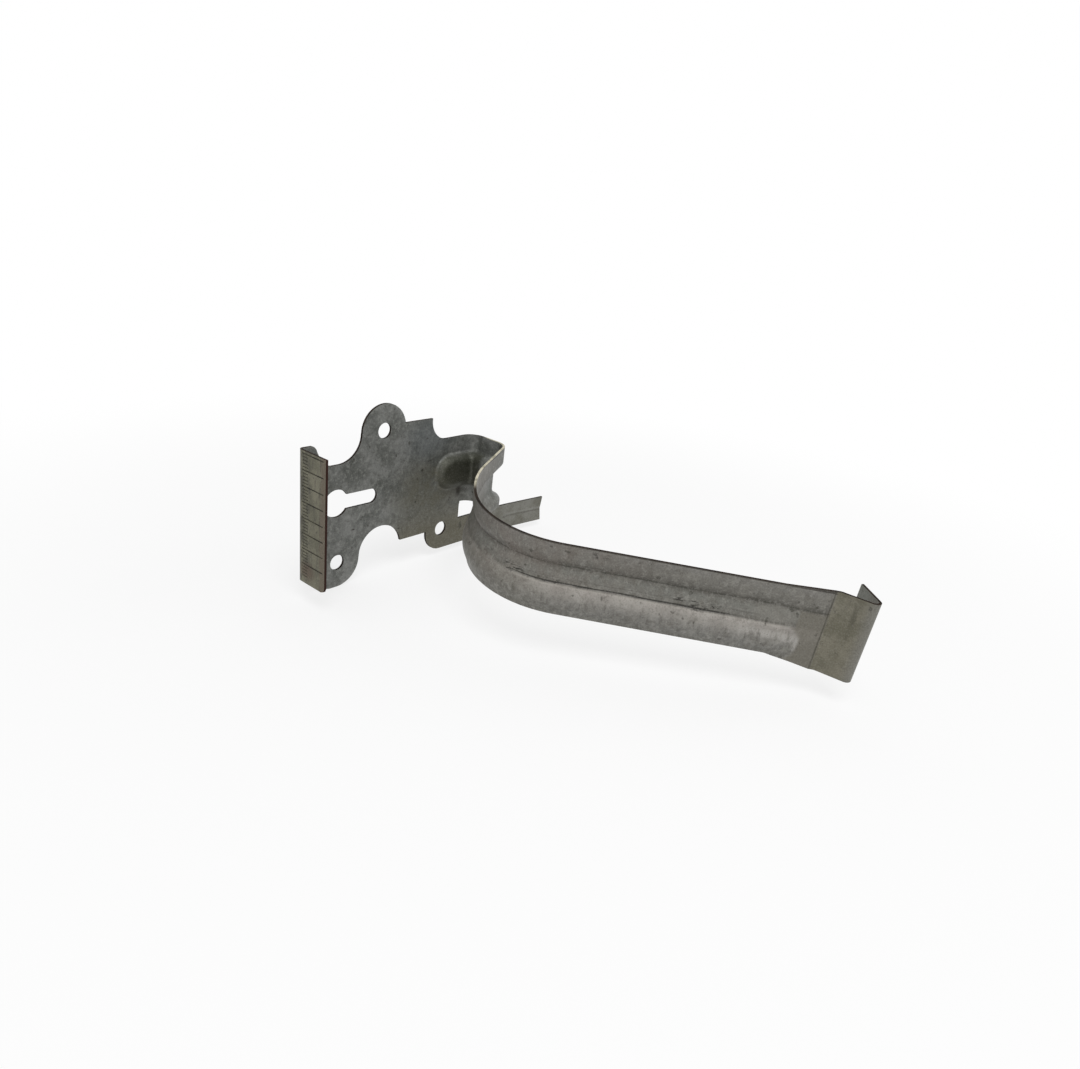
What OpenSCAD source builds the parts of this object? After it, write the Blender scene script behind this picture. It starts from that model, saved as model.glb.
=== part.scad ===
// Gutter bracket pressed from one strip of galvanised sheet steel.
// A lobed fixing plate lies against the wall or fascia, a swaged arm swings out
// under the gutter, and a folded hook at its end takes the front bead.
// Millimetres.  X runs along the plate, Y points into the wall, Z runs across the
// strip.  The origin is on the back face of the plate, in the middle of it.

/* [Sheet] */
// Thickness of the sheet
sheet_t = 0.8; // [0.7:0.1:1.2]
// Distance from one blank to the next in the coil, which is the height of the plate
pitch = 41.6; // [41:0.1:42]
// Width of the strip that becomes the arm
strip_w = 25; // [24.5:0.1:25.5]

/* [Fixing plate] */
// Left end of the plate, measured to the outside of the flange
plate_left = -36.5; // [-38:0.1:-36]
// Height of the shoulder to the right of the top lobe
shoulder_top = 24.6; // [24.2:0.1:25]
// Upper edge of the arm strip
strip_top = 16.7; // [16.4:0.1:17]
// Radius of the lobe round the top hole
lobe_r = 8.85; // [8.5:0.05:9.2]
// Position of the top hole along X
hole1_x = -4.8; // [-5.2:0.1:-4.4]
// Height of the top hole; the left bottom hole lies one pitch below it
hole1_z = 23; // [22.8:0.1:23.4]
// Radius of the step down from the shoulder to the arm strip
step_r = 7.1; // [6.8:0.1:7.6]
// Position of the left bottom hole along X
hole2_x = -22.3; // [-22.6:0.1:-21.8]
// Position of the right bottom hole along X
hole3_x = 23; // [22.6:0.1:23.4]
// Height of the right bottom hole
hole3_z = -17.1; // [-17.5:0.1:-16.7]
// Diameter of the three fixing holes
hole_d = 5.2; // [4.6:0.1:5.8]

/* [Keyhole] */
// Centre of the round end along X
key_x = -23; // [-23.5:0.1:-22.5]
// Height of the keyhole
key_z = 1.8; // [1:0.1:2.6]
// Diameter of the round end
key_d = 9.2; // [8.6:0.1:9.8]
// Width of the narrow end
key_slot_w = 4.9; // [4.5:0.1:5.3]
// Right end of the narrow end
key_end = -7.1; // [-8:0.1:-6]

/* [Graduated flange] */
// How far the flange stands out from the back of the plate
flange_d = 13.6; // [12:0.1:15]
// Lower end of the flange
flange_z = -20.5; // [-20.8:0.1:-20.2]
// Height of the flange
flange_h = 42.2; // [41.6:0.1:42.6]
// Inside radius of the flange fold
flange_r = 1; // [0.6:0.1:1.6]
// Height of the lowest long graduation
mark_z = -14.1; // [-15:0.1:-13]
// Depth of the rolled graduation marks
mark_depth = 0.18; // [0.1:0.02:0.3]
// Width of a graduation mark
mark_w = 0.4; // [0.3:0.05:0.6]

/* [Tongue] */
// Left end of the slit between tongue and arm
slit_x = 31.6; // [31.2:0.1:31.7]
// Height of the slit
slit_h = 6.6; // [6.2:0.1:7]
// Length of the tongue measured from the middle of the plate
tongue_end = 77.5; // [70:0.5:80]
// Where the tongue is set forward
tongue_bend_x = 57; // [52:0.5:60]
// Angle the tongue is set forward
tongue_set = 8; // [4:1:10]
// Depth of the crease along the tongue
tongue_crease = 0.7; // [0.5:0.1:0.9]

/* [Offset of the arm] */
// Where the plate starts to fold outwards
fold_x = 31.8; // [31.7:0.1:32.2]
// Outside radius of the first fold
fold_a_r = 5.2; // [5:0.1:5.6]
// Length of the flat between the two folds
leg = 7; // [6.5:0.1:7.5]
// Outside radius of the second fold
fold_b_r = 7.5; // [7:0.1:8]
// Angle of the second fold
fold_b = 67; // [65:1:69]

/* [Arm] */
// Forward dip of the arm against the plate
arm_dip = 4.7; // [4:0.1:5.4]
// Sideways lean of the arm against the plate
arm_lean = -2.3; // [-3:0.1:-1.6]
// Inside radius where the arm starts to sweep round
sweep_in_r = 53; // [48:1:58]
// Inside radius of the rest of the sweep
sweep_arm_r = 29.7; // [29:0.1:30.5]
// Length of the straight arm as far as the hook crease
arm_len = 75.9; // [74:0.1:78]
// Where the swage starts to run out
swage_end = 61; // [56:0.5:62]

/* [Hook] */
// Width of the strip at the hook
hook_w = 26; // [25:0.1:26.5]
// How far the strip at the hook stands above the arm
hook_rise = 0.6; // [0:0.1:0.8]
// Turn of the hook plate at its crease
hook_turn = 24; // [20:1:28]
// Length of the hook plate
hook_len = 7.9; // [7:0.1:10]
// Angle of the return fold
lip_turn = 129; // [120:1:135]
// Inside radius of the return fold
lip_r = 1.25; // [0.8:0.05:1.6]
// Length of the returned lip
lip_len = 9; // [6:0.1:10]

/* [Hidden] */
$fn = 72;
steel = [0.43, 0.43, 0.41];
strip_bottom = strip_top - strip_w;
// Middle line and half width of the rib across the folds
rib_c = strip_top - 12.5;
rib_half = [[7.6, 0], [7.1, 0], [6.5, 0.12], [5.8, 0.6], [4.9, 2.2], [4.2, 2.85], [3.3, 3.1]];
rib_x = 25.1;
// Section of the rib, measured down from the upper edge of the strip: [depth, height]
sec_rib = [[0, 0], [-4.9, 0], [-5.4, 0], [-6, 0.12], [-6.8, 0.6], [-7.7, 2.2], [-8.4, 2.85],
           [-9.2, 3.1], [-12.5, 3.1], [-14.2, 3.1], [-15.8, 3.1], [-16.7, 2.85], [-17.4, 2.2],
           [-18.3, 0.6], [-19, 0.12], [-19.6, 0], [-20.1, 0], [-21.6, 0]];
// Section of the swaged arm: a hollow under the upper edge, then the long roll
sec_arm = [[0, 0], [-2.2, 0], [-4.2, -0.05], [-5.4, -0.3], [-6.4, -0.75], [-7.2, -0.85], [-9, -0.6],
           [-11, -0.15], [-12.4, 0.25], [-13.4, 0.8], [-14.6, 1.4], [-15.8, 1.7], [-17, 1.8],
           [-18.2, 1.65], [-19.4, 1.25], [-20.6, 0.7], [-21.6, 0.3], [-22.5, 0.05]];
// Section of the flat strip at the hook, with a point for each one of the arm's
sec_flat = [for (p = sec_arm) [hook_rise + p[0] * hook_w / 22.5, 0]];
// The same rib section over the full height of the strip
sec_rib_full = [for (i = [0:len(sec_rib) - 1]) i == len(sec_rib) - 1 ? [-strip_w, 0] : sec_rib[i]];
// Radius of the sweep beside the top lobe, which nests round the lobe below it
sweep_r = hole1_x - lobe_r - hole2_x - 0.05;
neck_top = hole1_z - sweep_r;
// The freely formed stretches are this much slimmer, and start inside their neighbours
slim = 0.01;
lap = 0.1;
// Where the second fold turns, and where it ends
fold_b_at = [fold_x + fold_a_r - fold_b_r, -fold_a_r - leg];
// Corner of the arm's own frame, on the upper edge of the second fold
arm_at = [fold_x + 4.7, -10.4, strip_top];
// Centre of the sweep in that frame
sweep_at = [-14.44, -47.86];
sweep_from = 180 - fold_b;
sweep_split = 140;
sweep_to = 215;
// Height of the tongue, and how far it is flat
tongue_h = pitch - strip_w - slit_h;
tongue_flat = tongue_bend_x - 2;

// ---- small helpers ------------------------------------------------------------

function mix(a, b, w) = a * (1 - w) + b * w;
function ease(w) = w * w * (3 - 2 * w);

// Direction square to a section at its point i
function section_normal(s, i) =
    let (a = s[max(0, i - 1)], b = s[min(len(s) - 1, i + 1)], d = b - a)
    [d[1], -d[0]] / norm(d);

// A section moved outwards by d
function beside(s, d) = [for (i = [0:len(s) - 1]) s[i] + d * section_normal(s, i)];

function backwards(v) = [for (i = [len(v) - 1:-1:0]) v[i]];

// Closed outline of a section, one sheet thick
function outline(s) = concat(s, backwards(beside(s, sheet_t)));

// The same outline, slimmer by d all round
function slim_outline(s, d) =
    let (n = len(s) - 1, t = [for (i = [0:n]) i == 0 ? s[0] - [d, 0] : i == n ? s[n] + [d, 0] : s[i]])
    concat(beside(t, d), backwards(beside(t, sheet_t - d)));

function mix_section(a, b, w) = [for (i = [0:len(a) - 1]) mix(a[i], b[i], w)];

// The rib fades out early, and the swage of the arm rises over the whole stretch
function crossing(t) =
    let (w = ease(t), rib = 1 - ease(min(1, t * 2)))
    [for (i = [0:len(sec_rib) - 1])
        [mix(sec_rib[i][0], sec_arm[i][0], w), sec_rib[i][1] * rib + sec_arm[i][1] * w]];

// Turns about X and then about Y, the same way rotate([a, b, 0]) does
function turned(p, a, b) =
    let (q = [p[0], p[1] * cos(a) - p[2] * sin(a), p[1] * sin(a) + p[2] * cos(a)])
    [q[0] * cos(b) + q[2] * sin(b), q[1], -q[0] * sin(b) + q[2] * cos(b)];

function in_arm(p) = arm_at + turned(p, arm_dip, arm_lean);

// Sheet through a row of outlines: each goes along one face of the sheet and back
// along the other, and all have the same number of points
module skin(rings) {
    n = len(rings[0]);
    h = n / 2;
    e = (len(rings) - 1) * n;
    sides = [for (j = [0:len(rings) - 2]) for (i = [0:n - 1])
        for (f = [[j * n + i, j * n + (i + 1) % n, (j + 1) * n + i],
                  [(j + 1) * n + i, j * n + (i + 1) % n, (j + 1) * n + (i + 1) % n]]) f];
    first_end = [for (i = [0:h - 2]) for (f = [[i, n - 1 - i, i + 1], [i + 1, n - 1 - i, n - 2 - i]]) f];
    last_end = [for (f = first_end) [f[0] + e, f[2] + e, f[1] + e]];
    polyhedron([for (r = rings) for (p = r) p], concat(first_end, sides, last_end), convexity = 6);
}

// ---- fixing plate -------------------------------------------------------------

// Everything below the upper edge of the blank.  The lower edge is the same line
// one pitch further down, because the blanks nest in the coil.
module below_upper_edge() {
    x0 = plate_left + flange_r + sheet_t;
    z0 = flange_z + flange_h;
    difference() {
        union() {
            polygon([[x0, -70], [x0, z0], [plate_left + 4.4, z0], [plate_left + 5.2, z0 - 0.3],
                     [plate_left + 5.9, z0 - 1.1], [plate_left + 6.6, z0 - 2.6],
                     [plate_left + 7.4, neck_top + 2.8], [plate_left + 8.4, neck_top + 1.4],
                     [plate_left + 9.8, neck_top + 0.4], [plate_left + 11.4, neck_top],
                     [hole2_x, neck_top], [hole2_x, -70]]);
            translate([hole2_x, -70]) square([hole1_x - hole2_x, 70 + hole1_z]);
            translate([hole1_x, -70]) square([hole3_x - hole1_x, 70 + shoulder_top]);
            translate([hole1_x, hole1_z]) circle(r = lobe_r);
            translate([hole3_x, -70]) square([fold_x - hole3_x, 70 + strip_top]);
        }
        translate([hole2_x, hole1_z]) circle(r = sweep_r);
        translate([hole3_x, strip_top + step_r]) circle(r = step_r);
    }
}

module keyhole() {
    w = key_slot_w;
    translate([key_x, key_z]) circle(d = key_d);
    translate([key_x, key_z - w / 2]) square([key_end - key_x - w / 2, w]);
    translate([key_end - w / 2, key_z]) circle(d = w);
}

module slit() {
    r = 1.4;
    z = strip_bottom - slit_h;
    translate([slit_x + r, z]) square([60, slit_h]);
    translate([slit_x, z]) square([r, slit_h - r]);
    translate([slit_x + r, strip_bottom - r]) circle(r = r);
}

// The flat blank of the plate, without the rib's footprint
module plate_blank() {
    difference() {
        union() {
            below_upper_edge();
            translate([hole3_x, strip_top - pitch]) square([tongue_flat - hole3_x, tongue_h]);
        }
        translate([0, -pitch]) below_upper_edge();
        translate([hole1_x, hole1_z]) circle(d = hole_d);
        translate([hole2_x, hole1_z - pitch]) circle(d = hole_d);
        translate([hole3_x, hole3_z]) circle(d = hole_d);
        keyhole();
        slit();
        translate([rib_x, rib_c]) circle(r = 7.3);
        translate([rib_x, rib_c - 7.3]) square([fold_x - rib_x, 14.6]);
    }
    translate([plate_left + flange_r + sheet_t, flange_z]) square([3.4, 4]);
}

module plate() {
    rotate([90, 0, 0]) linear_extrude(sheet_t) plate_blank();
}

// ---- rib that stiffens the two folds --------------------------------------------

module rib_nose() {
    n = len(rib_half) - 1;
    top = [for (i = [0:n]) rib_half[i] + sheet_t * (i == n ? [0, 1] : section_normal(rib_half, i))];
    translate([rib_x, 0, rib_c]) rotate([90, 0, 0]) rotate([0, 0, 90])
        rotate_extrude(angle = 180)
            polygon(concat(rib_half, [[0, rib_half[n][1]], [0, top[n][1]]], backwards(top)));
}

module rib_on_plate() {
    n = len(rib_half) - 1;
    top = [for (i = [0:n]) rib_half[i] + sheet_t * (i == n ? [0, 1] : section_normal(rib_half, i))];
    low = concat([for (p = rib_half) [-p[1], p[0]]], backwards([for (p = rib_half) [-p[1], -p[0]]]));
    high = concat([for (p = top) [-p[1], p[0]]], backwards([for (p = top) [-p[1], -p[0]]]));
    translate([rib_x, 0, rib_c]) rotate([90, 0, 90]) linear_extrude(fold_x - rib_x)
        polygon(concat(low, backwards(high)));
}

// ---- folds between plate and arm ------------------------------------------------

module first_fold() {
    translate([fold_x, -fold_a_r, strip_top])
        rotate_extrude(angle = 90)
            polygon([for (p = outline(sec_rib_full)) [fold_a_r - p[1], p[0]]]);
}

// The lower edge of the strip rises along this stretch
module leg_flat() {
    drop = sec_rib[len(sec_rib) - 1][0] + 0.03;
    slope = (drop + strip_w) / leg;
    translate([fold_x + fold_a_r, -fold_a_r, strip_top]) difference() {
        rotate([90, 0, 0]) linear_extrude(leg)
            polygon([for (p = outline(sec_rib_full)) [-p[1], p[0]]]);
        translate([-10, 0, 0]) rotate([90, 0, 90]) linear_extrude(20)
            polygon([[1, -strip_w - 3], [1, -strip_w - slope], [-leg - 1, drop + slope],
                     [-leg - 1, -strip_w - 3]]);
    }
}

module second_fold() {
    translate([fold_b_at[0], fold_b_at[1], strip_top])
        rotate_extrude(angle = fold_b, start = -fold_b)
            polygon([for (p = outline(sec_rib)) [fold_b_r - p[1], p[0]]]);
}

// The stretch where the rib slides down the strip and becomes the swage of the
// arm, while the strip takes up the dip of the arm and starts to sweep round
module crossover() {
    straight = 9;
    bent = 12;
    out = [cos(sweep_from), sin(sweep_from), 0];
    ahead = [-sin(sweep_from), cos(sweep_from), 0];
    split = [cos(sweep_split), sin(sweep_split), 0];
    centre = [sweep_at[0], sweep_at[1], 0] + (sweep_arm_r - sweep_in_r) * split;
    from = [fold_b_at[0], fold_b_at[1], strip_top] - fold_b_r * out;
    to = in_arm(centre + sweep_in_r * out);
    out_to = turned(out, arm_dip, arm_lean);
    up_to = turned([0, 0, 1], arm_dip, arm_lean);
    share = straight / (straight + 1.6 * bent);
    first = concat([[0, -lap]], [for (j = [0:straight]) [j / straight, 0]]);
    second = concat([for (j = [1:bent]) [j / bent, 0]], [[1, 0.2]]);
    skin(concat(
        [for (q = first)
            let (w = q[0], base = mix(from, to, w) + q[1] * ahead,
                 o = mix(out, out_to, w), u = mix([0, 0, 1], up_to, w))
            [for (p = slim_outline(crossing(w * share), slim))
                base + p[1] * o / norm(o) + p[0] * u / norm(u)]],
        [for (q = second)
            let (a = mix(sweep_from, sweep_split, q[0]) + q[1], w = share + (1 - share) * q[0])
            [for (p = slim_outline(crossing(w), slim))
                in_arm(centre + [(sweep_in_r + p[1]) * cos(a), (sweep_in_r + p[1]) * sin(a), p[0]])]]));
}

// ---- arm ------------------------------------------------------------------------

// Frame of the straight part of the arm: Z up along the strip, Y along the arm,
// and the back face of the sheet at X = sweep_arm_r
module along_arm() {
    translate(arm_at) rotate([arm_dip, arm_lean, 0])
        translate([sweep_at[0], sweep_at[1], 0]) rotate([0, 0, sweep_to])
            children();
}

module arm_section() {
    polygon([for (p = outline(sec_arm)) [sweep_arm_r + p[1], p[0]]]);
}

module arm_sweep() {
    rotate_extrude(angle = sweep_to - sweep_split, start = sweep_split - sweep_to) arm_section();
}

module arm_straight() {
    translate([0, swage_end, 0]) rotate([90, 0, 0]) linear_extrude(swage_end) arm_section();
}

// The swage flattens out before the hook
module swage_runout() {
    steps = 11;
    run = 13.5;
    rows = concat([[-lap, 0]], [for (j = [0:steps]) [run * j / steps, j / steps]], [[run + lap, 1]]);
    skin([for (q = rows)
        let (pressed = 1 - ease(min(1, q[1] * 1.5)), s = mix_section(sec_arm, sec_flat, q[1]))
        [for (p = slim_outline([for (i = [0:len(s) - 1]) [s[i][0], sec_arm[i][1] * pressed]], slim))
            [sweep_arm_r + p[1], swage_end + q[0], p[0]]]]);
    translate([sweep_arm_r, swage_end + run, hook_rise - hook_w])
        cube([sheet_t, arm_len - swage_end - run, hook_w]);
}

// ---- hook -----------------------------------------------------------------------

module hook() {
    r = 1.6;
    translate([sweep_arm_r + sheet_t + r, arm_len, hook_rise - hook_w]) {
        rotate_extrude(angle = hook_turn, start = 180 - hook_turn)
            translate([r, 0]) square([sheet_t, hook_w]);
        rotate([0, 0, -hook_turn]) translate([-sheet_t - r, 0, 0]) {
            slim_flat(hook_len + lap);
            translate([-lip_r, hook_len, 0]) {
                rotate_extrude(angle = lip_turn) translate([lip_r, 0]) square([sheet_t, hook_w]);
                rotate([0, 0, lip_turn]) translate([lip_r, 0, 0]) slim_flat(lip_len);
            }
        }
    }
}

module slim_flat(length) {
    translate([slim, -lap, slim]) cube([sheet_t - 2 * slim, length + lap, hook_w - 2 * slim]);
}

// ---- flange ---------------------------------------------------------------------

module flange() {
    r = 1.6;
    translate([plate_left + sheet_t + flange_r, -sheet_t - flange_r, flange_z])
        rotate_extrude(angle = 90, start = 90)
            translate([flange_r, 0]) square([sheet_t, flange_h]);
    difference() {
        translate([plate_left, 0, flange_z]) rotate([90, 0, 90]) linear_extrude(sheet_t)
            polygon([[-sheet_t - flange_r, 0], [-sheet_t - flange_r, flange_h], [-flange_d, flange_h],
                     [-flange_d, r], [-flange_d + 0.3 * r, 0.3 * r], [-flange_d + r, 0]]);
        graduations();
    }
}

// Rolled marks: a long line every 5 mm and a short one every millimetre
module graduations() {
    fold = -sheet_t - flange_r;
    for (k = [0:7])
        translate([plate_left - 1, -flange_d + 1, mark_z + 5 * k - mark_w / 2])
            cube([1 + mark_depth, flange_d + fold - 1.6, mark_w]);
    for (k = [-5:36]) if (k % 5 != 0)
        translate([plate_left - 1, fold - 3.4, mark_z + k - mark_w / 3])
            cube([1 + mark_depth, 2.6, mark_w * 2 / 3]);
}

// ---- tongue ---------------------------------------------------------------------

// Outer end of the tongue, from where its crease begins
module tongue_tip() {
    z = strip_top - pitch;
    fold = 0.48 * tongue_h;
    rows = [[tongue_flat - lap, 0, 0, 0], [tongue_bend_x - 1, 0, 0, 0], [tongue_bend_x + 1, 0.2, 1, 0],
            [tongue_bend_x + 6, 1, 1, 0.1], [tongue_end, 1, 1, 0.35]];
    skin([for (q = rows)
        let (a = tongue_set * q[2], run = q[2] * (q[0] - tongue_bend_x),
             x = q[0] - run * (1 - cos(a)), y = -run * sin(a), c = tongue_crease * q[1],
             b = [x, y, z + q[3]] + slim * [-sin(a), -cos(a), 0], t = (sheet_t - 2 * slim) * [-sin(a), -cos(a), 0])
        [b + [0, 0, tongue_h - slim], b + [0, c, fold], b + [0, 0, slim],
         b + t + [0, 0, slim], b + t + [0, c, fold], b + t + [0, 0, tongue_h - slim]]]);
}

// ---- the whole bracket ------------------------------------------------------------

module fixing_end() {
    plate();
    rib_nose();
    rib_on_plate();
    flange();
    tongue_tip();
}

module arm_end() {
    first_fold();
    leg_flat();
    second_fold();
    crossover();
    along_arm() {
        arm_sweep();
        arm_straight();
        swage_runout();
        hook();
    }
}

module bracket() {
    color(steel) {
        fixing_end();
        arm_end();
    }
}

bracket();
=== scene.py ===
import math
import bmesh
import bpy
from mathutils import Matrix, Vector


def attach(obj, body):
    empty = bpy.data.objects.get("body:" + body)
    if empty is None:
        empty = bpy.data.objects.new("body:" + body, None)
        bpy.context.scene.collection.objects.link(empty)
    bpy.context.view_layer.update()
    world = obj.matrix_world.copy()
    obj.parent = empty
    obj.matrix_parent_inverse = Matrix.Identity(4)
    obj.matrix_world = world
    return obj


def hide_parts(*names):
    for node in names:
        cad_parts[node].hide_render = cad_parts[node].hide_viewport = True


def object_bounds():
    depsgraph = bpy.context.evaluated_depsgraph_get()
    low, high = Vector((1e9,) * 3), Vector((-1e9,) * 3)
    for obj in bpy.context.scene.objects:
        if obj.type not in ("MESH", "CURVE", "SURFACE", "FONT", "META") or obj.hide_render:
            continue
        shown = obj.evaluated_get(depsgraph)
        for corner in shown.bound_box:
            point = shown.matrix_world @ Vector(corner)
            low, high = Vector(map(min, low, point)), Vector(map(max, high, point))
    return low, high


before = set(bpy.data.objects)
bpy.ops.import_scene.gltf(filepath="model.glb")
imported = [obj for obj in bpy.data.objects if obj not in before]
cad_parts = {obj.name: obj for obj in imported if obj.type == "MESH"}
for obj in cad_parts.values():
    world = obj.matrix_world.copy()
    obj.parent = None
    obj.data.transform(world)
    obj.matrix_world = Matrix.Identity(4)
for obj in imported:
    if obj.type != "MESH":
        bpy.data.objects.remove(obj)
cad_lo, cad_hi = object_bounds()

# Lengths are in millimetres, except where metres are named, and follow the frame's
# axes: x along the plate, y into the wall, z upwards.  Colours are everyday 0-255 ones.
MM = 0.001

# How the faces of the solid are told apart
PATCH_ANGLE = math.radians(40)          # faces that meet at less belong to one patch
SHARP_ANGLE = math.radians(32)          # edges that bend by more stay sharp
MERGE = 4e-6                            # metres; corners closer than this become one
SLIVER = 2e-6                           # metres; shorter edges are dissolved
CUT_WIDTH = (0.35, 0.95)                # width of a patch that is a cut edge of the sheet
MARK_WIDTH = 0.5                        # a narrower patch on the flange is a graduation
FLANGE_X = -36.2                        # the flange's outer patches lie left of this
FLANGE_Y = (-13, -1)                    # and those of its marks between these in y
ZINC_SLOT, EDGE_SLOT, MARK_SLOT = range(3)

# The arm, which its colours follow
TOP = 16.7                              # height of its upper edge on the second fold
START = (36.5, -10.4)                   # x and y there, from where it dips and leans
DIP = 0.0822                            # fall of that edge for each millimetre forwards
LEAN = 0.0402                           # fall of that edge for each millimetre to the left
STRAIGHT = (0.577, -0.817, -0.044)      # direction of the straight part
BANDS = 26                              # the painted bands of light and shade reach this far down the strip
CREASE = 134.6                          # the hook's crease, measured in that direction

# The finish
METAL = 0.35                            # how metallic the weathered zinc still is
GRAIN = 0.06                            # depth of its grain
BUMP = 0.35                             # strength of that grain

# The setting, in metres
MIDDLE = Vector((0.02, -0.07, 0))       # middle of the bracket, where the lamps point
FLOOR_SIZE = 6
FLOOR_GAP = 0.0002                      # the floor lies this far under the bracket
CAMERA_AT = (-0.16802, -0.19316, 0.09345)
CAMERA_RIGHT = (0.64084, -0.75915, 0.11407)     # direction of the picture's right side
CAMERA_BACK = (-0.73574, -0.56497, 0.37349)     # direction against the line of sight
LENS = 26.66                            # millimetres, on a sensor 36 wide
LAMP_SIZE = 0.5

# Strengths of the white around the bracket
FLOOR_WHITE = 0.86                      # colour of the floor
FLOOR_GLOW = (0.72, 1.0)                # how white it looks near the bracket and far from it
GLOW_FROM, GLOW_TO = 110, 330           # millimetres from the middle where that changes
WORLD_LIGHT = 0.62                      # the world as a light; to the eye it is 1


def srgb(r, g, b):
    """Linear colour of an everyday 0-255 colour."""
    def lin(c):
        c /= 255
        return c / 12.92 if c <= 0.04045 else ((c + 0.055) / 1.055) ** 2.4
    return (lin(r), lin(g), lin(b), 1)


# ---------------------------------------------------------------- the pressed sheet

def bend(edge):
    """Angle between the faces of an edge, or half a turn where there aren't two."""
    return edge.calc_face_angle(math.pi)


def patches_of(bm):
    """Groups of faces that meet at less than the patch angle."""
    todo = set(bm.faces)
    while todo:
        start = todo.pop()
        group, queue = [start], [start]
        while queue:
            for edge in queue.pop().edges:
                if bend(edge) < PATCH_ANGLE:
                    for face in edge.link_faces:
                        if face in todo:
                            todo.remove(face)
                            group.append(face)
                            queue.append(face)
        yield group


def mean_width(group):
    """Twice the area over the length of the outline: the width of a ribbon."""
    rim = sum(edge.calc_length() for face in group for edge in face.edges
              if bend(edge) >= PATCH_ANGLE)
    return 2 * sum(face.calc_area() for face in group) / max(rim, 1e-9) / MM


def slot_of(group):
    """Material of a patch, told by its place and its width."""
    width = mean_width(group)
    mid = sum((face.calc_center_median() for face in group), Vector()) / len(group) / MM
    on_flange = mid.x < FLANGE_X and FLANGE_Y[0] < mid.y < FLANGE_Y[1]
    if on_flange and width < MARK_WIDTH:
        return MARK_SLOT
    if CUT_WIDTH[0] < width < CUT_WIDTH[1]:
        return EDGE_SLOT
    return ZINC_SLOT


def dressed_bracket(source):
    """A smooth-shaded skin over the solid, with its cut edges and marks told apart."""
    bm = bmesh.new()
    bm.from_mesh(source.data)
    bmesh.ops.remove_doubles(bm, verts=bm.verts, dist=MERGE)
    bmesh.ops.dissolve_degenerate(bm, dist=SLIVER, edges=bm.edges)
    for group in patches_of(bm):
        slot = slot_of(group)
        for face in group:
            face.material_index = slot
            face.smooth = True
    for edge in bm.edges:
        edge.smooth = bend(edge) < SHARP_ANGLE
    mesh = bpy.data.meshes.new("bracket_sheet")
    bm.to_mesh(mesh)
    bm.free()
    skin = bpy.data.objects.new("bracket_sheet", mesh)
    bpy.context.scene.collection.objects.link(skin)
    even = skin.modifiers.new("even", "WEIGHTED_NORMAL")
    even.keep_sharp = True
    even.weight = 60
    return skin


# ---------------------------------------------------------------- node helpers

class Nodes:
    """Small helper that writes nodes into an emptied tree."""

    def __init__(self, tree):
        self.tree = tree
        self.tree.nodes.clear()

    def node(self, kind, **values):
        n = self.tree.nodes.new(kind)
        for key, value in values.items():
            setattr(n, key, value)
        return n

    def link(self, a, b):
        self.tree.links.new(a, b)

    def put(self, socket, value):
        """Link the value where it is a socket, and otherwise set it."""
        if isinstance(value, bpy.types.NodeSocket):
            self.link(value, socket)
        else:
            socket.default_value = value

    def math(self, operation, a, b=0.0, clamp=False):
        n = self.node("ShaderNodeMath", operation=operation, use_clamp=clamp)
        self.put(n.inputs[0], a)
        self.put(n.inputs[1], b)
        return n.outputs[0]

    def times(self, *parts):
        """The product of all its parts."""
        product = parts[0]
        for part in parts[1:]:
            product = self.math("MULTIPLY", product, part)
        return product

    def ramp(self, value, low, high, to_low=0.0, to_high=1.0):
        """Smooth step from low to high."""
        n = self.node("ShaderNodeMapRange", interpolation_type="SMOOTHSTEP")
        self.put(n.inputs["Value"], value)
        n.inputs["From Min"].default_value = low
        n.inputs["From Max"].default_value = high
        n.inputs["To Min"].default_value = to_low
        n.inputs["To Max"].default_value = to_high
        return n.outputs["Result"]

    def seen(self):
        """1 for what the camera sees, directly or in a gloss, and 0 for all other light."""
        path = self.node("ShaderNodeLightPath")
        return self.math("MAXIMUM", path.outputs["Is Camera Ray"], path.outputs["Is Glossy Ray"])


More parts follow.
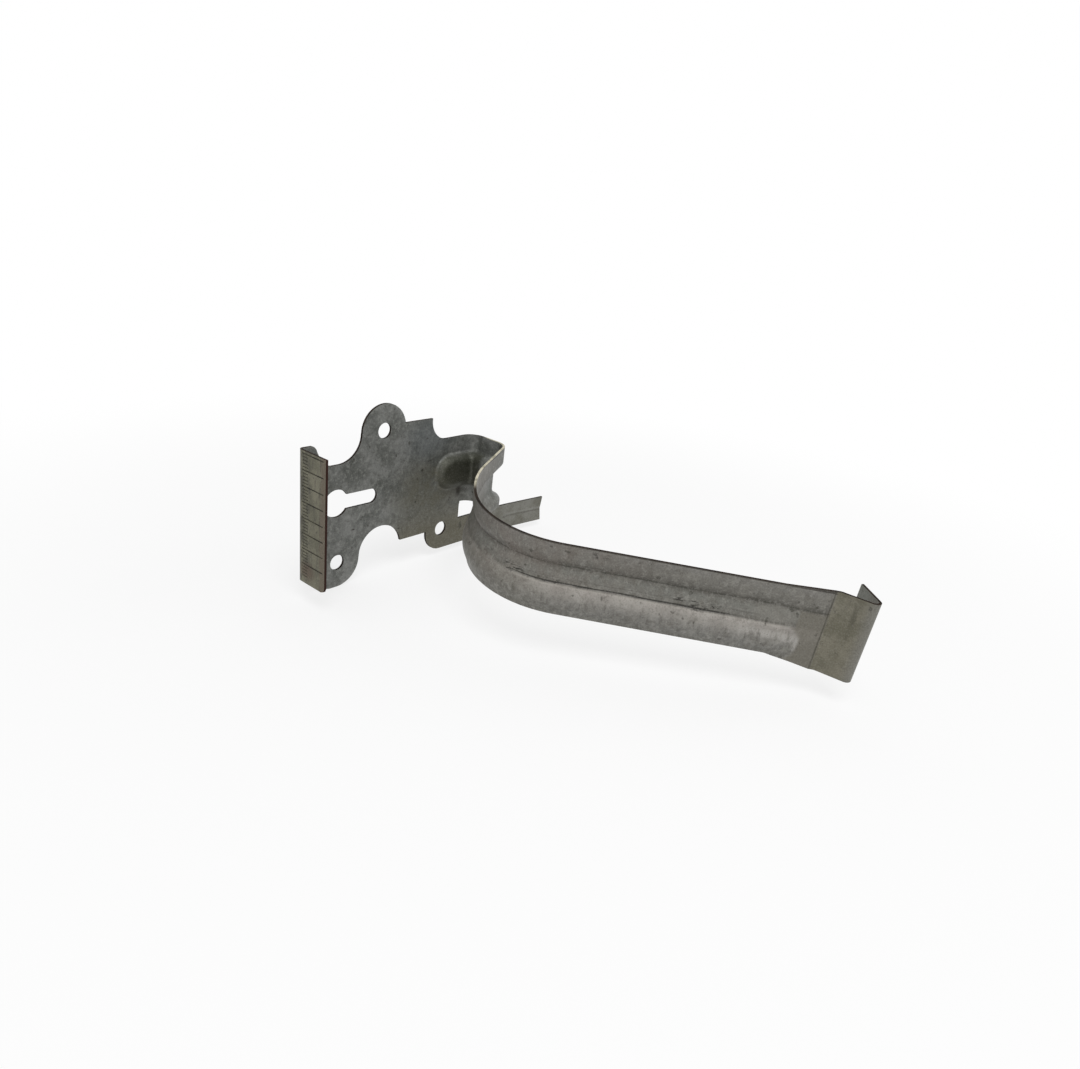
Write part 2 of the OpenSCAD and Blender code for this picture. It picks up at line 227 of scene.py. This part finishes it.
class Paint(Nodes):
    """A new material, with masks and colours placed in millimetres on the object."""

    def __init__(self, name):
        self.material = bpy.data.materials.new(name)
        self.material.use_nodes = True
        super().__init__(self.material.node_tree)
        scale = self.node("ShaderNodeVectorMath", operation="SCALE")
        self.link(self.node("ShaderNodeTexCoord").outputs["Object"], scale.inputs[0])
        scale.inputs["Scale"].default_value = 1 / MM
        self.mm = scale.outputs[0]
        axes = self.node("ShaderNodeSeparateXYZ")
        self.link(self.mm, axes.inputs[0])
        self.x, self.y, self.z = axes.outputs

    def band(self, value, low, high, soft):
        """1 between low and high, 0 outside."""
        return self.times(self.ramp(value, low - soft, low + soft),
                          self.ramp(value, high - soft, high + soft, 1.0, 0.0))

    def spot(self, centre, radii, soft):
        """1 inside an ellipsoid, 0 outside."""
        offset = self.node("ShaderNodeVectorMath", operation="SUBTRACT")
        self.link(self.mm, offset.inputs[0])
        offset.inputs[1].default_value = centre
        share = self.node("ShaderNodeVectorMath", operation="DIVIDE")
        self.link(offset.outputs[0], share.inputs[0])
        share.inputs[1].default_value = radii
        far = self.node("ShaderNodeVectorMath", operation="LENGTH")
        self.link(share.outputs[0], far.inputs[0])
        return self.ramp(far.outputs["Value"], 1 - soft, 1 + soft, 1.0, 0.0)

    def noise(self, size, detail, rough, seed, stretch=(1, 1, 1)):
        """Noise whose grain is about size millimetres, longer where it is stretched."""
        place = self.node("ShaderNodeMapping")
        self.link(self.mm, place.inputs["Vector"])
        place.inputs["Location"].default_value = (seed, seed * 0.7, -seed)
        place.inputs["Scale"].default_value = tuple(1 / (size * s) for s in stretch)
        n = self.node("ShaderNodeTexNoise")
        self.link(place.outputs[0], n.inputs["Vector"])
        n.inputs["Scale"].default_value = 1.0
        n.inputs["Detail"].default_value = detail
        n.inputs["Roughness"].default_value = rough
        return n.outputs[0]

    def ragged(self, value, noise, amount):
        """The value, pushed up and down by a noise."""
        return self.math("ADD", value, self.times(self.math("SUBTRACT", noise, 0.5), amount))

    def mix(self, amount, a, b):
        n = self.node("ShaderNodeMix", data_type="RGBA")
        n.clamp_factor = True
        self.put(n.inputs[0], amount)
        self.put(n.inputs[6], a)
        self.put(n.inputs[7], b)
        return n.outputs[2]

    def shade(self, value, low, high, first, second):
        """One colour up to low and the other one from high."""
        return self.mix(self.ramp(value, low, high), srgb(*first), srgb(*second))

    def over(self, under, colour, *masks):
        """A colour laid over another, as strongly as its masks multiplied together."""
        if isinstance(colour, tuple):
            colour = srgb(*colour)
        return self.mix(self.times(*masks), under, colour)

    def blend(self, amount, a, b):
        """A shader between two others."""
        n = self.node("ShaderNodeMixShader")
        self.link(amount, n.inputs[0])
        self.link(a.outputs[0], n.inputs[1])
        self.link(b.outputs[0], n.inputs[2])
        return n

    def close(self, shader):
        """The material, once its last shader is on the surface."""
        self.link(shader.outputs[0], self.node("ShaderNodeOutputMaterial").inputs[0])
        return self.material

    def finish(self, colour, rough, metal, height=None, shine=0.5):
        """The material with its gloss and, where it has a height, its grain."""
        shader = self.node("ShaderNodeBsdfPrincipled")
        shader.inputs["Specular IOR Level"].default_value = shine
        self.put(shader.inputs["Base Color"], colour)
        self.put(shader.inputs["Roughness"], rough)
        self.put(shader.inputs["Metallic"], metal)
        if height is not None:
            bump = self.node("ShaderNodeBump")
            bump.inputs["Strength"].default_value = BUMP
            bump.inputs["Distance"].default_value = GRAIN * MM
            self.link(height, bump.inputs["Height"])
            self.link(bump.outputs[0], shader.inputs["Normal"])
        return self.close(shader)


# ---------------------------------------------------------------- materials

class Zinc(Paint):
    """The colours of the weathered galvanised sheet, region by region, with painted light and
    shade on the pressed arm, its creases and the rib.
    """

    def __init__(self):
        super().__init__("galvanised_sheet")
        self.cloud = self.noise(7, 5, 0.62, seed=3)
        self.spangle = self.noise(1.5, 3, 0.7, seed=11)
        self.fine = self.noise(0.45, 2, 0.6, seed=19)
        self.drips = self.noise(1.4, 5, 0.65, stretch=(1, 1, 3), seed=5)
        self.drawn = self.noise(1.1, 4, 0.65, stretch=(14, 14, 1), seed=23)
        self.follow_arm()

    def follow_arm(self):
        """Coordinates that run along the straight arm and down from its upper edge."""
        lean = self.times(self.math("SUBTRACT", self.x, START[0]), LEAN)
        dip = self.times(self.math("SUBTRACT", self.y, START[1]), DIP)
        edge = self.math("ADD", self.math("ADD", dip, lean), TOP)
        self.down = self.math("SUBTRACT", edge, self.z)
        self.wavy = self.ragged(self.down, self.drawn, 0.9)
        run_x, run_y, run_z = (self.times(axis, share)
                               for axis, share in zip((self.x, self.y, self.z), STRAIGHT))
        self.along = self.math("ADD", self.math("ADD", run_x, run_y), run_z)

    def patch(self, at, radii, soft, inside=1.0, outside=0.0):
        """A soft ellipse on the arm, placed by its coordinates along and down."""
        a = self.math("DIVIDE", self.math("SUBTRACT", self.along, at[0]), radii[0])
        b = self.math("DIVIDE", self.math("SUBTRACT", self.down, at[1]), radii[1])
        far = self.math("SQRT", self.math("ADD", self.times(a, a), self.times(b, b)))
        return self.ramp(far, 1 - soft, 1 + soft, inside, outside)

    def plate(self):
        """Bluish grey and mottled, browner low down and beside the rib, with small stains."""
        colour = self.shade(self.cloud, 0.35, 0.66, (88, 90, 86), (124, 125, 122))
        colour = self.over(colour, (144, 145, 140), self.ramp(self.spangle, 0.5, 0.66), 0.5)
        colour = self.over(colour, (70, 70, 62), self.ramp(self.spangle, 0.46, 0.3), 0.5)
        colour = self.over(colour, (92, 87, 68), self.ramp(self.z, -5, -17),
                           self.ramp(self.x, -8, 8), 0.75)
        colour = self.over(colour, (80, 77, 58), self.spot((17, 0, -1), (15, 8, 10), 0.6),
                           self.ramp(self.cloud, 0.25, 0.6), 0.75)
        colour = self.over(colour, (92, 99, 102), self.spot((15, 0, 18), (10, 4, 7), 0.6), 0.45)
        for at, size in (((0.4, -1, 13.9), (0.25, 2, 0.6)), ((12.4, -1, 6.9), (0.5, 2, 0.5)),
                         ((-16.3, -1, -8.5), (0.7, 2, 0.3)), ((10.1, -1, -4.3), (0.4, 2, 0.4)),
                         ((30.6, -2, -3.4), (1.2, 3, 2.6)), ((3, -1, -12.5), (0.5, 2, 0.25))):
            colour = self.over(colour, (42, 38, 28), self.spot(at, size, 0.5), 0.8)
        return colour

    def arm(self):
        """Painted bands of light and shade with streaks and blotches, a brown-pink start and a
        dark upper edge.
        """
        colour = self.bands()
        colour = self.over(colour, (94, 92, 82), self.ramp(self.along, 62, 46),
                           self.ramp(self.down, 11, 14), 0.6)
        colour = self.over(colour, (158, 156, 150), self.ramp(self.drips, 0.5, 0.7),
                           self.ramp(self.down, 11, 17), 0.55)
        colour = self.over(colour, (72, 70, 62), self.ramp(self.drips, 0.5, 0.32),
                           self.ramp(self.down, 12, 18), 0.55)
        colour = self.over(colour, (98, 94, 88), self.ramp(self.cloud, 0.42, 0.62), 0.3)
        colour = self.over(colour, (152, 150, 144), self.ramp(self.spangle, 0.5, 0.64), 0.36)
        pale = self.ramp(self.noise(3.2, 4, 0.7, seed=61), 0.5, 0.62)
        colour = self.over(colour, (136, 134, 126), pale, 0.3)
        dark = self.ramp(self.noise(2.6, 4, 0.7, seed=67), 0.52, 0.66)
        colour = self.over(colour, (84, 80, 72), dark, 0.4)
        start = self.spot((20, -62, 6), (30, 24, 12), 0.6)
        colour = self.over(colour, (112, 100, 92), start, self.ramp(self.cloud, 0.3, 0.65), 0.5)
        # painted shade and highlights of the creases and the run-out, and the scores
        colour = self.run_out(self.scores(self.creases(colour)))
        return self.over(colour, (40, 34, 28), self.ramp(self.down, 0.42, 0.2), 0.8)

    def bands(self):
        """Painted light and shade of the pressed section: light and dark bands by their distance
        down.
        """
        # painted shade in the hollow near 7 and a painted highlight on the roll from 13.4
        stops = ((0.0, (122, 120, 114)), (0.9, (116, 114, 109)), (3.2, (112, 110, 104)),
                 (5.2, (103, 101, 95)), (6.4, (84, 82, 76)), (7.0, (62, 60, 54)),
                 (7.5, (94, 93, 87)), (8.6, (112, 112, 106)), (11.0, (110, 109, 103)),
                 (12.2, (102, 100, 94)), (13.4, (158, 153, 147)), (15.0, (150, 146, 140)),
                 (17.5, (128, 126, 121)), (20.0, (112, 111, 106)), (25.0, (98, 97, 90)))
        bands = self.node("ShaderNodeValToRGB")
        ramp = bands.color_ramp
        ramp.interpolation = "EASE"
        while len(ramp.elements) < len(stops):
            ramp.elements.new(0.5)
        for element, (down, colour) in zip(ramp.elements, stops):
            element.position = down / BANDS
            element.color = srgb(*colour)
        self.link(self.math("DIVIDE", self.wavy, BANDS, clamp=True), bands.inputs[0])
        return bands.outputs[0]

    def creases(self, colour):
        """The crease line in painted shade, with a painted highlight on its lit side and its tail
        in painted shade, and two fainter lines above it, the higher one painted shade in the
        hollow.
        """
        start = self.ramp(self.along, 43, 50)
        tail_start = self.ramp(self.along, 106, 112)
        broken = self.ramp(self.drawn, 0.44, 0.56)
        for place, mask, fade, amount, tone in (
                # the crease, painted shade
                ((12.0, 12.4, 0.15), start, (112, 106), 0.97, (34, 32, 28)),
                # its lit side, a painted highlight
                ((12.75, 13.2, 0.25), start, (126, 122), 0.3, (178, 173, 165)),
                # its tail, painted shade
                ((12.2, 12.5, 0.2), tail_start, (127, 124), 0.5, (84, 82, 76)),
                ((10.7, 10.85, 0.14), start, (122, 116), 0.5, (66, 64, 58)),
                # the hollow, painted shade
                ((6.95, 7.1, 0.16), broken, (116, 104), 0.7, (44, 43, 38))):
            colour = self.over(colour, tone, self.band(self.wavy, *place), mask,
                               self.ramp(self.along, *fade), amount)
        return colour

    def scores(self, colour):
        """Short dark scores along the crease and one near the upper edge."""
        torn = self.ramp(self.noise(0.8, 3, 0.7, stretch=(3, 3, 1), seed=57), 0.5, 0.58)
        for at, size in (((99, 12), (3.6, 1.0)), ((95, 10.6), (4.5, 0.5)),
                         ((46, 11.6), (3.4, 1.2)), ((57, 12), (3.0, 0.8)),
                         ((104, 11.2), (2.0, 0.8)), ((70, 1.8), (2.4, 0.8))):
            colour = self.over(colour, (34, 32, 28), self.patch(at, size, 0.7), torn, 0.95)
        return colour

    def run_out(self, colour):
        """The swage's run-out: square end of the painted middle band, and the bright end of the
        roll as painted highlights.
        """
        colour = self.over(colour, (126, 124, 117), self.patch((121, 9.6), (7, 2.4), 0.35), 0.5)
        # plain sheet where the painted bands of light and shade stop
        band_end = self.times(self.ramp(self.along, 127.0, 127.5),
                              self.ramp(self.down, 6.5, 8), self.ramp(self.down, 13.4, 12.6))
        roll_end = self.times(self.ramp(self.along, 122, 124), self.ramp(self.down, 12.6, 13.4),
                              self.patch((121, 18.5), (8.2, 7), 0.08, inside=0.0, outside=1.0))
        beyond = self.math("ADD", band_end, roll_end, clamp=True)
        colour = self.over(colour, (108, 104, 94), beyond, 0.8)
        # painted highlights at the end of the roll
        for at, size in (((119, 15.6), (7, 1.1)), ((126.2, 16.6), (2.4, 1.1)),
                         ((128.4, 19), (0.8, 2.4))):
            colour = self.over(colour, (176, 173, 168), self.patch(at, size, 0.6),
                               self.ramp(self.drips, 0.3, 0.6), 0.55)
        return colour

    def hook(self):
        """Olive with darker stains, greyer towards its end and on its lip."""
        colour = self.shade(self.cloud, 0.35, 0.65, (98, 95, 79), (122, 118, 103))
        colour = self.over(colour, (70, 66, 54), self.ramp(self.spangle, 0.55, 0.68), 0.5)
        colour = self.over(colour, (120, 119, 114), self.ramp(self.along, 141.5, 145), 0.7)
        colour = self.over(colour, (70, 67, 52), self.patch((140.6, 5), (0.7, 5), 0.7),
                           self.ramp(self.drips, 0.3, 0.6), 0.7)
        return self.over(colour, (124, 127, 120), self.ramp(self.x, 47.5, 49), 0.8)

    def flange(self):
        """Olive grey, grimy near the fold and rusty towards the free edge."""
        colour = self.shade(self.cloud, 0.35, 0.65, (86, 84, 66), (113, 110, 92))
        colour = self.over(colour, (58, 56, 46), self.ramp(self.drips, 0.52, 0.66), 0.6)
        grime = self.ramp(self.noise(2.4, 5, 0.7, stretch=(1, 1, 1.6), seed=71), 0.47, 0.58)
        colour = self.over(colour, (56, 54, 42), self.ramp(self.y, -8.5, -4.5), grime, 0.75)
        rust = self.ramp(self.ragged(self.y, self.cloud, 3.0), -10.8, -11.8)
        colour = self.over(colour, (94, 83, 68), rust, 0.85)
        colour = self.over(colour, (58, 40, 30), self.band(self.y, -11.2, -10.95, 0.12),
                           self.ramp(self.drips, 0.4, 0.55), 0.7)
        colour = self.over(colour, (60, 54, 44), self.ramp(self.y, -1.9, -1.1), 0.6)
        stain = self.spot((-36.5, -5, -16), (2, 3.2, 2.6), 0.6)
        return self.over(colour, (76, 56, 40), stain, 0.7)

    def tongue(self):
        """Light grey, with a line of painted shade and a line of painted highlight along its
        crease.
        """
        colour = self.shade(self.cloud, 0.35, 0.65, (104, 103, 94), (130, 130, 124))
        outer = self.ramp(self.x, 56, 60)
        # painted shade along the crease
        colour = self.over(colour, (72, 71, 64), outer, self.band(self.z, -20.4, -19.9, 0.25), 0.6)
        # painted highlight along the crease
        return self.over(colour, (150, 150, 146), outer, self.band(self.z, -19.6, -18.9, 0.3), 0.5)

    def wear(self, colour):
        """Small pits and scuffs everywhere."""
        speck = self.ramp(self.noise(1.0, 3, 0.6, seed=37), 0.6, 0.7)
        colour = self.over(colour, (58, 57, 50), speck, 0.32)
        pit = self.ramp(self.noise(2.3, 2, 0.4, seed=31), 0.69, 0.75)
        colour = self.over(colour, (52, 49, 41), pit, 0.6)
        colour = self.over(colour, (160, 158, 150), self.ramp(self.fine, 0.5, 0.7), 0.16)
        return self.over(colour, (60, 58, 50), self.ramp(self.fine, 0.5, 0.32), 0.22)

    def sheet(self):
        """Every region in its place, with the wear on top."""
        on_arm = self.times(self.ramp(self.y, -15, -26), self.ramp(self.x, -30, -24))
        colour = self.over(self.plate(), self.arm(), on_arm)
        # the hook's crease, a painted line of shade
        hook_crease_shade = self.band(self.along, CREASE - 0.25, CREASE + 0.15, 0.2)
        colour = self.over(colour, (58, 55, 44), hook_crease_shade, on_arm, 0.7)
        on_hook = self.ramp(self.along, CREASE, CREASE + 0.6)
        colour = self.over(colour, self.hook(), on_hook, 0.85)
        # painted shade where the rib rises from the plate and runs into the folds
        colour = self.over(colour, (42, 43, 25), self.band(self.z, -1.5, 10.5, 1.0),
                           self.ramp(self.x, 18, 21), self.ramp(self.y, -0.9, -1.8),
                           self.ramp(self.y, -9, -7), 0.78)
        colour = self.over(colour, self.flange(), self.ramp(self.x, -35.2, -35.8),
                           self.ramp(self.y, -0.8, -2))
        colour = self.over(colour, self.tongue(), self.ramp(self.x, 40, 46),
                           self.ramp(self.y, -12, -8), 0.8)
        return self.wear(colour)


def zinc():
    """Weathered galvanised sheet: grey spangle, olive and brown stains, and pressed bands and
    lines in painted light and shade.
    """
    p = Zinc()
    rough = p.math("ADD", p.times(p.cloud, 0.22), 0.40)
    grain = p.math("ADD", p.times(p.spangle, 0.7), p.times(p.fine, 0.35))
    return p.finish(p.sheet(), rough, METAL, grain)


def cut_edge():
    """Sheared edge: dark brown, cream on top of the arm's start, reddish on the flange."""
    p = Paint("cut_edge")
    n = p.noise(3, 4, 0.65, seed=41)
    colour = p.shade(n, 0.36, 0.64, (22, 15, 11), (44, 35, 27))
    cream = p.shade(n, 0.35, 0.6, (150, 146, 128), (200, 194, 174))
    colour = p.over(colour, cream, p.band(p.y, -34, -7, 3), p.ramp(p.z, 9, 11),
                    p.ramp(p.x, -20, -12))
    colour = p.over(colour, (48, 30, 24), p.ramp(p.x, -34.5, -35.6), p.ramp(p.y, -11, -12.6))
    return p.finish(colour, 0.8, 0.0, shine=0.12)


def marks():
    """Rolled graduations, filled with dirt and worn pale in places."""
    p = Paint("graduation_groove")
    colour = p.shade(p.noise(1.2, 3, 0.6, seed=47), 0.38, 0.66, (34, 33, 26), (66, 64, 52))
    worn = p.math("MAXIMUM", p.ramp(p.noise(5, 3, 0.6, seed=53), 0.44, 0.58),
                  p.band(p.y, -4.6, -1, 0.5))
    colour = p.over(colour, (88, 86, 72), worn, 0.7)
    return p.finish(colour, 0.8, 0.1)


piece = dressed_bracket(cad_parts["bracket"])
for material in (zinc(), cut_edge(), marks()):
    piece.data.materials.append(material)
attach(piece, "root")
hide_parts("bracket")


# ---------------------------------------------------------------- floor, light and camera

def white_floor():
    """A pale floor that reads as white and still takes the shadow."""
    p = Paint("floor")
    plain = p.node("ShaderNodeBsdfDiffuse")
    plain.inputs["Color"].default_value = (FLOOR_WHITE, FLOOR_WHITE, FLOOR_WHITE, 1)
    glow = p.node("ShaderNodeEmission")
    glow.inputs["Color"].default_value = (1, 1, 1, 1)
    glow.inputs["Strength"].default_value = 1.0
    away = p.node("ShaderNodeVectorMath", operation="LENGTH")
    p.link(p.mm, away.inputs[0])
    whiteness = p.ramp(away.outputs["Value"], GLOW_FROM, GLOW_TO, *FLOOR_GLOW)
    return p.close(p.blend(p.seen(), plain, p.blend(whiteness, plain, glow)))


def white_world():
    """White to the eye, and a softer light for everything else."""
    world = bpy.data.worlds.new("studio")
    world.use_nodes = True
    p = Nodes(world.node_tree)
    sky = p.node("ShaderNodeBackground")
    sky.inputs["Color"].default_value = (1, 1, 1, 1)
    p.link(p.ramp(p.seen(), 0, 1, WORLD_LIGHT, 1.0), sky.inputs["Strength"])
    p.link(sky.outputs[0], p.node("ShaderNodeOutputWorld").inputs[0])
    return world


def lamp(name, at, power):
    """A round soft lamp, placed in metres and given its watts, that points at the middle."""
    data = bpy.data.lights.new(name, "AREA")
    data.shape = "DISK"
    data.size = LAMP_SIZE
    data.energy = power
    stand = bpy.data.objects.new(name, data)
    stand.location = at
    stand.rotation_euler = (MIDDLE - Vector(at)).to_track_quat("-Z", "Y").to_euler()
    bpy.context.scene.collection.objects.link(stand)


def wide_camera():
    """A wide-angle camera in front of the plate, to its left and above it."""
    data = bpy.data.cameras.new("camera")
    data.sensor_width = 36
    data.sensor_fit = "HORIZONTAL"
    data.lens = LENS
    data.clip_start = 0.01
    back = Vector(CAMERA_BACK).normalized()
    right = Vector(CAMERA_RIGHT).normalized()
    right = (right - back * right.dot(back)).normalized()
    turn = Matrix((right, back.cross(right), back)).transposed().to_4x4()
    camera = bpy.data.objects.new("camera", data)
    camera.matrix_world = Matrix.Translation(CAMERA_AT) @ turn
    bpy.context.scene.collection.objects.link(camera)
    return camera


bpy.ops.mesh.primitive_plane_add(size=FLOOR_SIZE,
                                 location=(MIDDLE.x, MIDDLE.y, cad_lo.z - FLOOR_GAP))
floor = bpy.context.object
floor.name = "floor"
floor.data.materials.append(white_floor())

lamp("key", (-0.25, -0.35, 0.75), 3.2)
lamp("fill", (0.6, -0.5, 0.35), 0.8)
bpy.context.scene.world = white_world()
bpy.context.scene.camera = wide_camera()
bpy.context.scene.view_settings.view_transform = "Standard"
